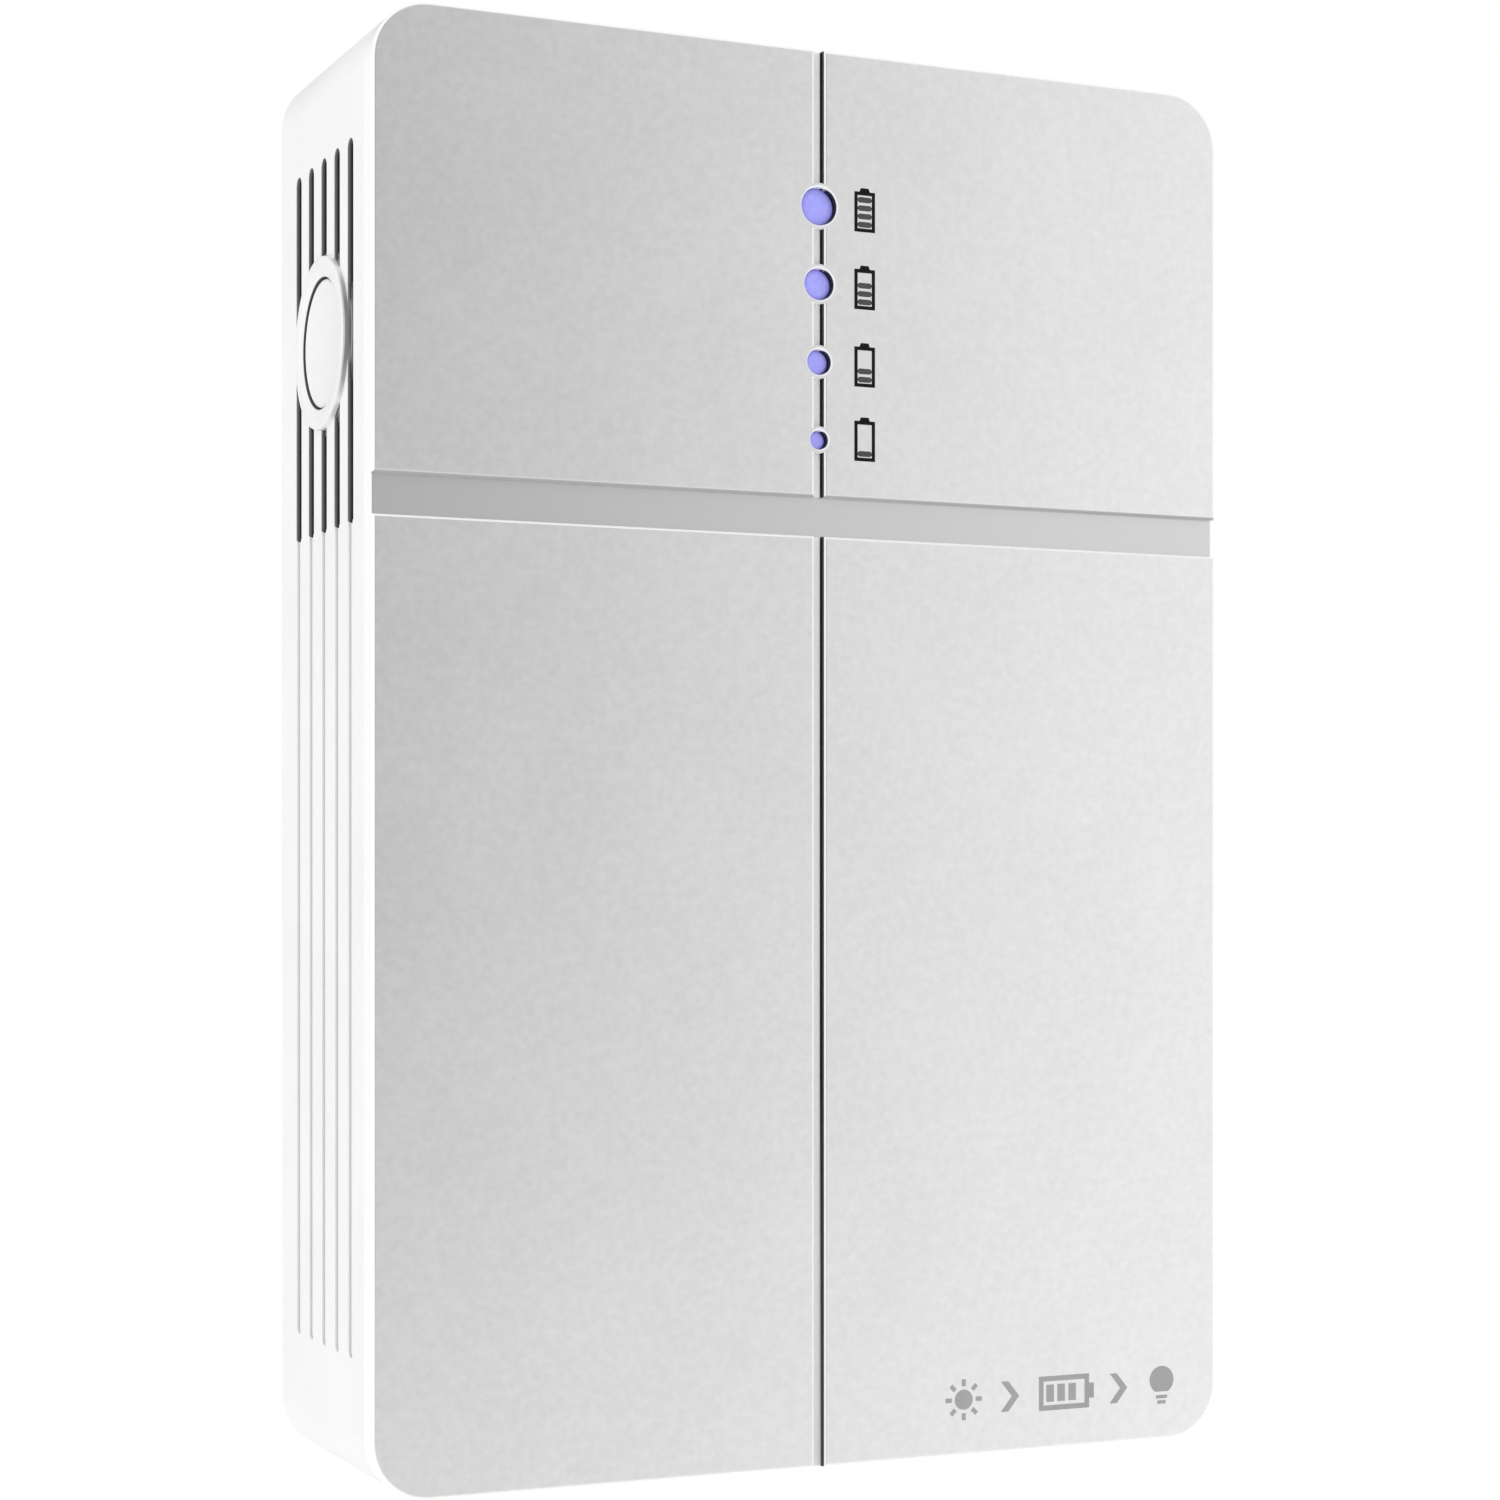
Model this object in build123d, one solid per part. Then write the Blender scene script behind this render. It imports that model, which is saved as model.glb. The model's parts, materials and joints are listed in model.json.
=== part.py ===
"""Wall battery unit: a two-shell plastic case with its battery pack, boards, sockets and push button.

X runs to the right as the front is faced, Y runs towards the wall and Z runs up. The origin is the
centre of the flat face that lies on the wall, so the front face is at Y = -DEPTH.
"""

import os

from build123d import *

os.makedirs("parts", exist_ok=True)

# ---------------------------------------------------------------- driving dimensions, in mm
# Case
WIDTH = 131.0
HEIGHT = 200.0
DEPTH = 45.5
CORNER_RADIUS = 8.0
WALL = 2.4
BACK_PANEL = 2.6
COVER_PLATE = 2.6
SEAM_DEPTH = 4.0
REAR_EDGE = 1.2
SEAM_CHAMFER = 0.12

# Front face: four pads around a cross-shaped channel
CHANNEL_DEPTH = 1.0
CHANNEL_WIDTH = 1.4
BAND_TOP = 36.9
BAND_BOTTOM = 31.4
PAD_EDGE = 0.45
CHANNEL_END_EDGE = 0.3

# Lip of the cover, which slides inside the housing
LIP_GAP = 0.1
LIP_THICKNESS = 1.2
LIP_DEPTH = 2.5

# Charge windows, largest at the top
WINDOW_TOP = 78.0
WINDOW_PITCH = 11.0
WINDOW_RADII = (2.7, 2.25, 1.8, 1.35)
WINDOW_CHAMFER = 0.25
WINDOW_RIM = 0.55
LENS_RECESS = 1.1
LENS_GAP = 0.05

# Vents and flutes of the two sides
VENT_COUNT = 5
VENT_PITCH = 6.35
VENT_WIDTH = 2.6
VENT_TOP = 83.3
VENT_BOTTOM = 31.5
VENT_DRAFT = 0.58
FLUTE_WIDTH = 2.0
FLUTE_DEPTH = 0.4
FLUTE_BOTTOM = -82.0

# Power button, centred in the vents of the left side
BUTTON_Y = -DEPTH / 2
BUTTON_Z = 57.5
BUTTON_TRAVEL = 1.5
RING_RADIUS = 12.0
RING_HEIGHT = 0.85
RING_BORE = 9.1
RING_SLEEVE = 10.6
CAP_RADIUS = 8.95
CAP_FLANGE_RADIUS = 10.0
CAP_WALL = 1.35
CAP_RECESS = 0.6
BOSS_RADIUS = 12.8
BOSS_RECESS = 0.5

# Screws that close the case
TOWER_X = 58.1
TOWER_Z = 92.6
TOWER_RADIUS = 5.4
TOWER_END = -23.0
SCREW_SEAT = -20.0

# Keyholes in the back panel
KEYHOLE_SPACING = 80.0
KEYHOLE_Z = 62.0
KEYHOLE_ENTRY = 4.5
KEYHOLE_NECK = 2.2
KEYHOLE_RISE = 9.0
KEYHOLE_POCKET = 6.0

# Battery pack: six columns of two 18650 cells
CELL_RADIUS = 9.2
CELL_LENGTH = 65.0
CELL_PITCH = 18.8
CELL_COLUMNS = 6
CELL_BOTTOM = -66.0
COMB_HEIGHT = 9.0
COMB_HALF_WIDTH = 57.6
FOAM = 0.8
PLATE = 0.2
SHEET = 0.5

# Boards
BOARD = 1.6
STANDOFF = 8.4

# ---------------------------------------------------------------- planes that follow from them
LEFT = -WIDTH / 2
RIGHT = WIDTH / 2
BOTTOM = -HEIGHT / 2
FRONT = -DEPTH
FLOOR = FRONT + CHANNEL_DEPTH
SEAM = FRONT + SEAM_DEPTH
PLATE_BACK = FRONT + COVER_PLATE
PANEL_FRONT = -BACK_PANEL
LIP_END = SEAM + LIP_DEPTH
BOARD_BACK = PANEL_FRONT - STANDOFF
BOARD_FRONT = BOARD_BACK - BOARD
MID_Y = (PLATE_BACK + PANEL_FRONT) / 2
CELL_TOP = CELL_BOTTOM + CELL_LENGTH
OVERLAP = 0.2

INWARD = (1, 0, 0)
TO_FRONT = (0, -1, 0)
TO_WALL = (0, 1, 0)
UP = (0, 0, 1)


# ---------------------------------------------------------------- building blocks
def block(x, y, z):
    """A box between a low and a high limit along each axis."""
    limits = (x, y, z)
    size = [high - low for low, high in limits]
    middle = [(high + low) / 2 for low, high in limits]
    return Pos(*middle) * Box(*size)


def rod(start, direction, radius, length):
    """A cylinder that starts at a point and runs in a direction."""
    return Solid.make_cylinder(radius, length, Plane(origin=start, z_dir=direction))


def tube(start, direction, outer, inner, length):
    """A round tube that starts at a point and runs in a direction."""
    return rod(start, direction, outer, length) - rod(start, direction, inner, length)


def slab(inset, back, front):
    """The case outline, drawn in by inset all round, from a back to a front Y."""
    outline = RectangleRounded(WIDTH - 2 * inset, HEIGHT - 2 * inset, CORNER_RADIUS - inset)
    return extrude(Plane.XZ.offset(-back) * outline, amount=back - front)


def edges_at(shape, y):
    """The edges that lie wholly at one Y."""
    return shape.edges().filter_by_position(Axis.Y, y - 0.01, y + 0.01)


def turned(points, axis_y, axis_z):
    """A solid turned from (x, radius) points about a line along X."""
    outline = Polyline(*[(x, 0, radius) for x, radius in points], close=True)
    return Pos(0, axis_y, axis_z) * revolve(make_face(outline), Axis.X)


def wire(points, bend, radius):
    """A round wire through the points, with its corners bent to a radius."""
    path = FilletPolyline(*points, radius=bend)
    section = Plane(origin=path @ 0, z_dir=path % 0) * Circle(radius)
    return sweep(section, path)


def screw(start, direction, shank, length, head, head_height):
    """A cross-recess screw: start is under its head and direction is the way the shank runs."""
    seat = Plane(origin=start, z_dir=direction)
    shape = seat * Pos(0, 0, length / 2) * Cylinder(shank, length)
    shape += seat * Pos(0, 0, -head_height / 2) * Cylinder(head, head_height)
    for arm in ((head * 1.2, head * 0.28), (head * 0.28, head * 1.2)):
        shape -= seat * Pos(0, 0, -head_height) * Box(*arm, head_height)
    return shape


def mirrored(shape):
    """The shape and its twin on the other side."""
    return shape + mirror(shape, Plane.YZ)


def group(shapes):
    """Separate solids kept together under one name."""
    return Compound(children=[solid for shape in shapes for solid in shape.solids()])


TOWERS = [(x, z) for x in (-TOWER_X, TOWER_X) for z in (-TOWER_Z, TOWER_Z)]
WINDOWS = [(WINDOW_TOP - WINDOW_PITCH * i, radius) for i, radius in enumerate(WINDOW_RADII)]
VENT_YS = [BUTTON_Y + VENT_PITCH * (i - (VENT_COUNT - 1) / 2) for i in range(VENT_COUNT)]

# Pack and board places that several pieces share
COMB_BACK = PANEL_FRONT - FOAM
COMB_FRONT = PLATE_BACK + FOAM
PACK_RIBS = [(CELL_BOTTOM - 1.4, CELL_BOTTOM - 0.1), (CELL_TOP + 0.1, CELL_TOP + 1.4)]
CONTROL_X = 51.0
CONTROL_Z = (14.0, 90.0)
CONTROL_SCREWS = [(x, z) for x in (-45.0, 45.0) for z in (20.0, 84.0)]
OUTLET_X = (-46.0, 50.0)
OUTLET_Z = (-97.0, -72.0)
OUTLET_SCREWS = [(-38.0, -78.0), (20.0, -78.0)]
SOCKET_Y = -18.1
SOCKET_BORE = 1.8
SOCKET_BORE_DEPTH = 13.0
SOCKET_NOSE = 3.0
SOCKET_HOLE = 4.3
SOCKETS = {
    "charge_socket": -36.0,
    "power_socket_1": -15.0,
    "power_socket_2": 5.0,
    "power_socket_3": 25.0,
}
INDICATOR_FRONT = -37.6
INDICATOR_BACK = INDICATOR_FRONT + BOARD
INDICATOR_Z = (33.0, 91.0)
INDICATOR_SCREWS = [37.5, 86.5]


# ---------------------------------------------------------------- case
def pad(x, z):
    """One raised pad of the front, between limits along X and Z, with a softened edge."""
    shape = slab(0, FLOOR + 1.0, FRONT) & block(x, (FRONT - 1, 0), z)
    return fillet(edges_at(shape, FRONT), PAD_EDGE)


def cover_window(z, radius):
    """The hole of one charge window, with a softened mouth."""
    hole = rod((0, PLATE_BACK + 1, z), TO_FRONT, radius, COVER_PLATE + 2)
    mouth = Plane(origin=(0, FRONT + WINDOW_CHAMFER / 2, z), z_dir=TO_FRONT)
    return hole + mouth * Cone(radius, radius + WINDOW_CHAMFER, WINDOW_CHAMFER)


def front_cover():
    shape = slab(0, SEAM, FLOOR)
    shape = fillet(edges_at(shape, FLOOR), CHANNEL_END_EDGE)
    half_channel = CHANNEL_WIDTH / 2
    for x in ((LEFT - 1, -half_channel), (half_channel, RIGHT + 1)):
        shape += pad(x, (BAND_TOP, HEIGHT))
        shape += pad(x, (-HEIGHT, BAND_BOTTOM))
    lip_inset = WALL + LIP_GAP
    inside = lip_inset + LIP_THICKNESS
    shape += slab(lip_inset, LIP_END, SEAM - OVERLAP)
    shape -= slab(inside, LIP_END + 1, PLATE_BACK)
    for x, z in TOWERS:
        shape += rod((x, TOWER_END - OVERLAP, z), TO_FRONT, 3.9, TOWER_END - PLATE_BACK)
        shape -= rod((x, TOWER_END, z), TO_FRONT, 1.3, 14.0)
    for z in INDICATOR_SCREWS:
        shape += rod((0, INDICATOR_FRONT, z), TO_FRONT, 2.5, INDICATOR_FRONT - PLATE_BACK + OVERLAP)
        shape -= rod((0, INDICATOR_FRONT + 1, z), TO_FRONT, 0.85, 5.5)
    for z, radius in WINDOWS:
        # a rim that parts the window from the channel, and a collar that holds the light pipe
        shape += rod((0, FLOOR + OVERLAP, z), TO_FRONT, radius + WINDOW_RIM, CHANNEL_DEPTH + OVERLAP)
        shape += rod((0, PLATE_BACK + 2.4, z), TO_FRONT, radius + 1.4, 2.4 + OVERLAP)
        shape -= rod((0, PLATE_BACK + 3, z), TO_FRONT, radius, 4.0)
        shape -= cover_window(z, radius)
    # ribs that locate the battery pack, parted for the temperature sensor's lead
    for z in PACK_RIBS:
        shape += mirrored(block((3, 45), (PLATE_BACK - OVERLAP, COMB_FRONT + 1.0), z))
    return shape


def vent_outline(side, depth):
    """The outline of a vent at a depth below the side face: square below, round above."""
    grow = VENT_DRAFT * depth
    half = VENT_WIDTH / 2 + grow
    low = VENT_BOTTOM - grow
    centre = VENT_TOP - VENT_WIDTH / 2
    straight = Polyline((-half, centre), (-half, low), (half, low), (half, centre))
    top = RadiusArc((half, centre), (-half, centre), -half)
    place = Plane(origin=(side * (RIGHT - depth), 0, 0), x_dir=(0, side, 0), z_dir=(side, 0, 0))
    return place * make_face([*straight.edges(), top])


def vent(side, y):
    """A vent through a side wall, wider inside than out, so that its ribs end in thin edges."""
    outline = [vent_outline(side, depth) for depth in (-OVERLAP, WALL + OVERLAP)]
    return Pos(0, y, 0) * loft(outline)


def flute(side, y):
    """The shallow groove that carries a vent's line down the side."""
    top = VENT_BOTTOM + FLUTE_WIDTH
    length = top - FLUTE_BOTTOM
    place = Plane(origin=(side * RIGHT, y, (top + FLUTE_BOTTOM) / 2), x_dir=UP, z_dir=(side, 0, 0))
    return extrude(place * SlotOverall(length, FLUTE_WIDTH), amount=FLUTE_DEPTH, both=True)


def keyhole(x):
    """A round entry for a screw head, with a narrow slot above it for the shank."""
    entry = rod((x, 1, KEYHOLE_Z), TO_FRONT, KEYHOLE_ENTRY, BACK_PANEL + 1)
    rise = (KEYHOLE_Z, KEYHOLE_Z + KEYHOLE_RISE)
    slot = block((x - KEYHOLE_NECK, x + KEYHOLE_NECK), (PANEL_FRONT, 1), rise)
    slot += rod((x, 1, KEYHOLE_Z + KEYHOLE_RISE), TO_FRONT, KEYHOLE_NECK, BACK_PANEL + 1)
    return entry + slot


def keyhole_pocket(x, grow):
    """The closed space behind a keyhole, or with grow the block of its walls."""
    half = KEYHOLE_ENTRY + 1.2 + grow
    low = KEYHOLE_Z - KEYHOLE_ENTRY - 1.2 - grow
    high = KEYHOLE_Z + KEYHOLE_RISE + KEYHOLE_ENTRY + 1.2 + grow
    return block((x - half, x + half), (PANEL_FRONT - KEYHOLE_POCKET - grow, PANEL_FRONT), (low, high))


def rear_housing():
    shape = slab(0, 0, SEAM)
    shape = fillet(edges_at(shape, 0), REAR_EDGE)
    shape = chamfer(edges_at(shape, SEAM), SEAM_CHAMFER)
    shape -= slab(WALL, PANEL_FRONT, SEAM - 1)
    for side in (-1, 1):
        for y in VENT_YS:
            shape -= vent(side, y)
            shape -= flute(side, y)
    # round boss of the power button, set back a little below the vents' face
    boss_start = (LEFT + BOSS_RECESS, BUTTON_Y, BUTTON_Z)
    shape += rod(boss_start, INWARD, BOSS_RADIUS, 8.5)
    shape -= rod((LEFT - 1, BUTTON_Y, BUTTON_Z), INWARD, RING_SLEEVE + 0.05, 11.0)
    # screw towers, open at the wall side for the screw heads
    for x, z in TOWERS:
        shape += rod((x, -0.5, z), TO_FRONT, TOWER_RADIUS, -TOWER_END - 0.5) & slab(1.0, 0, SEAM)
        shape -= rod((x, 1, z), TO_FRONT, 3.2, 1 - SCREW_SEAT)
        shape -= rod((x, 1, z), TO_FRONT, 1.7, 2 - TOWER_END)
    # keyholes with closed pockets
    for x in (-KEYHOLE_SPACING / 2, KEYHOLE_SPACING / 2):
        shape += keyhole_pocket(x, 1.2)
        shape -= keyhole_pocket(x, 0)
        shape -= keyhole(x)
    # posts of the boards
    for x, z in CONTROL_SCREWS + OUTLET_SCREWS:
        shape += rod((x, PANEL_FRONT + OVERLAP, z), TO_FRONT, 3.0, STANDOFF + OVERLAP)
        shape -= rod((x, BOARD_BACK - 1, z), TO_WALL, 1.3, STANDOFF)
    # ribs that locate the battery pack
    for z in PACK_RIBS:
        shape += block((-50, 50), (COMB_BACK - 1.0, PANEL_FRONT + OVERLAP), z)
    for z in ((CELL_BOTTOM, CELL_BOTTOM + COMB_HEIGHT), (CELL_TOP - COMB_HEIGHT, CELL_TOP)):
        guide = (COMB_HALF_WIDTH + 0.1, COMB_HALF_WIDTH + 1.3)
        shape += mirrored(block(guide, (-8.0, PANEL_FRONT + OVERLAP), z))
    # socket openings in the bottom
    for x in SOCKETS.values():
        shape -= rod((x, SOCKET_Y, BOTTOM - 1), UP, SOCKET_HOLE, WALL + 2)
    return shape


def cover_screws():
    return group([screw((x, SCREW_SEAT, z), TO_FRONT, 1.5, 14.0, 2.8, 2.2) for x, z in TOWERS])


# ---------------------------------------------------------------- power button
def button_ring():
    """A raised bezel whose top leans in towards the cap, on a sleeve through the side wall."""
    points = [
        (LEFT, RING_SLEEVE),
        (LEFT, RING_RADIUS),
        (LEFT - RING_HEIGHT + 0.3, RING_RADIUS),
        (LEFT - RING_HEIGHT + 0.08, RING_RADIUS - 0.1),
        (LEFT - RING_HEIGHT, RING_RADIUS - 0.35),
        (LEFT - RING_HEIGHT + 0.05, RING_BORE + 1.3),
        (LEFT - RING_HEIGHT + 0.25, RING_BORE + 0.35),
        (LEFT - RING_HEIGHT + 0.5, RING_BORE),
        (LEFT + 4.0, RING_BORE),
        (LEFT + 4.0, RING_SLEEVE),
    ]
    return turned(points, BUTTON_Y, BUTTON_Z)


CAP_FACE = LEFT - RING_HEIGHT + CAP_RECESS
CAP_FLANGE = LEFT + 4.1
SWITCH_FRONT = LEFT + 9.0
SWITCH_BACK = LEFT + 15.0
STEM_END = SWITCH_FRONT - BUTTON_TRAVEL - 0.5


def button_cap():
    """A dished cap with a flange that keeps it behind the ring and a socket for the plunger."""
    face = CAP_FACE + 0.3
    dish = ThreePointArc((face, 0, 0), (face - 0.08, 0, 4.2), (CAP_FACE, 0, CAP_RADIUS - 0.5))
    rest = Polyline(
        dish @ 1,
        (CAP_FACE + 0.12, 0, CAP_RADIUS - 0.15),
        (CAP_FACE + 0.4, 0, CAP_RADIUS),
        (CAP_FLANGE, 0, CAP_RADIUS),
        (CAP_FLANGE, 0, CAP_FLANGE_RADIUS),
        (CAP_FLANGE + 1.0, 0, CAP_FLANGE_RADIUS),
        (CAP_FLANGE + 1.0, 0, CAP_RADIUS - CAP_WALL),
        (CAP_FACE + 1.9, 0, CAP_RADIUS - CAP_WALL),
        (CAP_FACE + 1.9, 0, 3.4),
        (STEM_END, 0, 3.4),
        (STEM_END, 0, 2.0),
        (CAP_FACE + 2.6, 0, 2.0),
        (CAP_FACE + 2.6, 0, 0),
        dish @ 0,
    )
    outline = make_face([dish, *rest.edges()])
    return Pos(0, BUTTON_Y, BUTTON_Z) * revolve(outline, Axis.X)


def switch_body():
    half = 6.0
    shape = block(
        (SWITCH_FRONT, SWITCH_BACK),
        (BUTTON_Y - half, BUTTON_Y + half),
        (BUTTON_Z - half, BUTTON_Z + half),
    )
    shape -= rod((SWITCH_FRONT - 1, BUTTON_Y, BUTTON_Z), INWARD, 2.3, 4.0)
    shape -= rod((SWITCH_FRONT + 1, BUTTON_Y, BUTTON_Z), INWARD, 3.6, 4.1)
    return shape


def switch_plunger():
    flange = SWITCH_FRONT + 1.1
    shape = rod((CAP_FACE + 2.8, BUTTON_Y, BUTTON_Z), INWARD, 1.95, flange - CAP_FACE - 2.8)
    return shape + rod((flange, BUTTON_Y, BUTTON_Z), INWARD, 3.2, 0.8)


def switch_spring():
    """The return coil between the plunger's flange and the back of the switch."""
    wire_radius = 0.15
    start = SWITCH_FRONT + 1.9 + wire_radius + 0.02
    end = SWITCH_FRONT + 5.1 - wire_radius - 0.02
    coil = Helix(pitch=(end - start) / 3.5, height=end - start, radius=2.4)
    section = Plane(origin=coil @ 0, z_dir=coil % 0) * Circle(wire_radius)
    shape = sweep(section, coil)
    return Plane(origin=(start, BUTTON_Y, BUTTON_Z), z_dir=INWARD) * shape


def button_board():
    back = BOARD_FRONT - OVERLAP
    z = (BUTTON_Z - 12.5, BUTTON_Z + 12.5)
    return block((SWITCH_BACK, SWITCH_BACK + BOARD), (-34.0, back), z)


PIN_ZS = [BUTTON_Z + 4.0 * (i - 1.5) for i in range(4)]
PIN_X = SWITCH_BACK + BOARD + 1.3


def button_pins():
    """Right-angle pins that carry the button's board on the control board."""
    pins = []
    for z in PIN_ZS:
        reach = (SWITCH_BACK + BOARD, PIN_X + 0.3)
        foot = block(reach, (-16.0, -15.4), (z - 0.3, z + 0.3))
        leg = block((PIN_X - 0.3, PIN_X + 0.3), (-16.0, BOARD_BACK + 0.8), (z - 0.3, z + 0.3))
        pins.append(foot + leg)
    return group(pins)


# ---------------------------------------------------------------- charge indicator
def light_pipe(z, radius):
    """A clear tip in the window, a flange behind the cover and a stalk to the lamp."""
    tip_radius = radius - LENS_GAP
    tip_front = FRONT + LENS_RECESS
    flange = PLATE_BACK + 2.4
    tip = rod((0, flange, z), TO_FRONT, tip_radius, flange - tip_front)
    tip = fillet(edges_at(tip, tip_front), 0.3)
    shape = tip + rod((0, flange + 1.0, z), TO_FRONT, radius + 1.2, 1.0)
    stalk_end = INDICATOR_FRONT - 1.2
    return shape + rod((0, stalk_end, z), TO_FRONT, radius - 0.3, stalk_end - flange)


def indicator_board():
    shape = block((-8, 8), (INDICATOR_FRONT, INDICATOR_BACK), INDICATOR_Z)
    for z in INDICATOR_SCREWS:
        shape -= rod((0, INDICATOR_BACK + 1, z), TO_FRONT, 1.1, BOARD + 2)
    return shape


def indicator_lamps():
    front = INDICATOR_FRONT - 0.9
    return group([block((-1.6, 1.6), (front, INDICATOR_FRONT), (z - 1, z + 1)) for z, _ in WINDOWS])


def indicator_screws():
    return group(
        [screw((0, INDICATOR_BACK, z), TO_FRONT, 1.0, 6.0, 1.9, 1.4) for z in INDICATOR_SCREWS]
    )


RIBBON_TOP = 58.0
RIBBON_FOOT = 42.0


def ribbon_sockets():
    upper = block((-6, 6), (INDICATOR_BACK, -32.2), (RIBBON_TOP, RIBBON_TOP + 5))
    lower = block((-6, 6), (-18.4, BOARD_FRONT), (RIBBON_FOOT - 5, RIBBON_FOOT))
    return group([upper, lower])


def indicator_ribbon():
    """A flat ribbon that hangs in one slack fold between its two sockets."""
    path = FilletPolyline(
        (0, -34.1, RIBBON_TOP),
        (0, -34.1, RIBBON_FOOT + 5),
        (0, -15.5, RIBBON_FOOT + 5),
        (0, -15.5, RIBBON_FOOT),
        radius=3.5,
    )
    section = Plane(origin=path @ 0, x_dir=(1, 0, 0), z_dir=path % 0) * Rectangle(10, 0.8)
    return sweep(section, path)


# ---------------------------------------------------------------- control board
def control_board():
    shape = block((-CONTROL_X, CONTROL_X), (BOARD_FRONT, BOARD_BACK), CONTROL_Z)
    for x, z in CONTROL_SCREWS:
        shape -= rod((x, BOARD_BACK + 1, z), TO_FRONT, 1.6, BOARD + 2)
    for z in PIN_ZS:
        shape -= rod((PIN_X, BOARD_BACK + 1, z), TO_FRONT, 0.5, BOARD + 2)
    return shape


def board_screws(places):
    return group([screw((x, BOARD_FRONT, z), TO_WALL, 1.5, 7.5, 2.8, 2.0) for x, z in places])


INDUCTOR = (-28.0, 30.0)


def inductor_core():
    x, z = INDUCTOR
    shape = rod((x, BOARD_FRONT, z), TO_FRONT, 5.0, 14.0)
    shape += rod((x, BOARD_FRONT, z), TO_FRONT, 10.0, 2.5)
    return shape + rod((x, BOARD_FRONT - 11.5, z), TO_FRONT, 10.0, 2.5)


def inductor_winding():
    x, z = INDUCTOR
    turns = tube((x, BOARD_FRONT - 2.5, z), TO_FRONT, 8.6, 5.0, 9.0)
    for i in range(1, 9):
        turns -= tube((x, BOARD_FRONT - 2.4 - i, z), TO_FRONT, 9.0, 8.3, 0.2)
    return turns


def capacitors():
    """Three electrolytic capacitors with a crimp near the foot and a scored top."""
    cans = []
    for x in (-36.0, -24.0, -12.0):
        can = rod((x, BOARD_FRONT, 79.0), TO_FRONT, 5.0, 18.0)
        can -= tube((x, BOARD_FRONT - 2.0, 79.0), TO_FRONT, 6.0, 4.6, 0.8)
        top = BOARD_FRONT - 18.0
        can -= block((x - 3.5, x + 3.5), (top, top + 0.3), (78.8, 79.2))
        can -= block((x - 0.2, x + 0.2), (top, top + 0.3), (75.5, 82.5))
        cans.append(can)
    return group(cans)


HEATSINK_X = 20.0
TRANSISTOR_ZS = (60.0, 76.0)


def heatsink():
    deep = (-38.0, BOARD_FRONT - 1.0)
    shape = block((HEATSINK_X, HEATSINK_X + 2.5), deep, (52, 88))
    for i in range(7):
        low = 52.0 + i * 5.8
        shape += block((HEATSINK_X + 2.0, 42), deep, (low, low + 1.2))
    return shape


def power_transistors():
    packages = []
    for z in TRANSISTOR_ZS:
        tab = block((HEATSINK_X - 1.3, HEATSINK_X), (-32.0, -16.4), (z - 5, z + 5))
        tab -= rod((HEATSINK_X - 2, -29.2, z), INWARD, 1.8, 3.0)
        case = block((HEATSINK_X - 4.4, HEATSINK_X - 1.3), (-25.4, -16.4), (z - 5, z + 5))
        package = tab + case
        for offset in (-2.5, 0.0, 2.5):
            lead = (z + offset - 0.4, z + offset + 0.4)
            package += block((HEATSINK_X - 2.6, HEATSINK_X - 2.1), (-16.6, BOARD_FRONT), lead)
        packages.append(package)
    return group(packages)


CHIP_CENTRE = (-14.0, 58.0)


def controller_chip():
    """A square chip with eight legs along each side."""
    x, z = CHIP_CENTRE
    half, reach, leg_half = 5.0, 6.4, 0.2
    leg_height = (BOARD_FRONT - 0.5, BOARD_FRONT)
    shape = block((x - half, x + half), (BOARD_FRONT - 1.5, BOARD_FRONT - leg_half), (z - half, z + half))
    for i in range(8):
        along = 1.1 * (i - 3.5)
        leg_z = (z + along - leg_half, z + along + leg_half)
        leg_x = (x + along - leg_half, x + along + leg_half)
        shape += block((x - reach, x + reach), leg_height, leg_z)
        shape += block(leg_x, leg_height, (z - reach, z + reach))
    return shape


FUSE_X = (12.0, 34.0)
FUSE_Y = BOARD_FRONT - 4.2
FUSE_Z = 34.0


def fuse():
    low, high = FUSE_X
    shape = rod((low, FUSE_Y, FUSE_Z), INWARD, 2.4, high - low)
    for start in (low, high - 5.5):
        shape += rod((start, FUSE_Y, FUSE_Z), INWARD, 2.6, 5.5)
    return shape


def fuse_clips():
    clips = []
    for x in (FUSE_X[0] + 0.8, FUSE_X[1] - 4.8):
        clip = block((x, x + 4), (FUSE_Y - 2.2, BOARD_FRONT), (FUSE_Z - 3.3, FUSE_Z + 3.3))
        clip -= rod((x - 1, FUSE_Y, FUSE_Z), INWARD, 2.65, 6.0)
        clip -= block((x - 1, x + 5), (FUSE_Y - 3, FUSE_Y), (FUSE_Z - 2.0, FUSE_Z + 2.0))
        clips.append(clip)
    return group(clips)


def header(x, z):
    """A plug housing soldered to a board, with a rib on its face."""
    shape = block((x - 6, x + 6), (-22.4, BOARD_FRONT), (z, z + 6))
    return shape + block((x - 4, x + 4), (-23.0, -22.4), (z + 2, z + 4))


BATTERY_HEADER = (0.0, 16.0)
HARNESS_HEADER = (30.0, 16.0)
OUTLET_HEADER = (42.0, -80.0)


# ---------------------------------------------------------------- outlets in the bottom
def outlet_board():
    shape = block(OUTLET_X, (BOARD_FRONT, BOARD_BACK), OUTLET_Z)
    for x, z in OUTLET_SCREWS:
        shape -= rod((x, BOARD_BACK + 1, z), TO_FRONT, 1.6, BOARD + 2)
    return shape


SOCKET_MOUTH = BOTTOM + 0.4
SOCKET_BACK = BOTTOM + WALL
SOCKET_FRONT = SOCKET_Y - 5.5
SOCKET_LENGTH = 14.0
SOCKET_HALF = 4.7
STRIP_HALF = 1.5
STRIP = 0.4
NOTCH_HALF = 0.4


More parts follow.
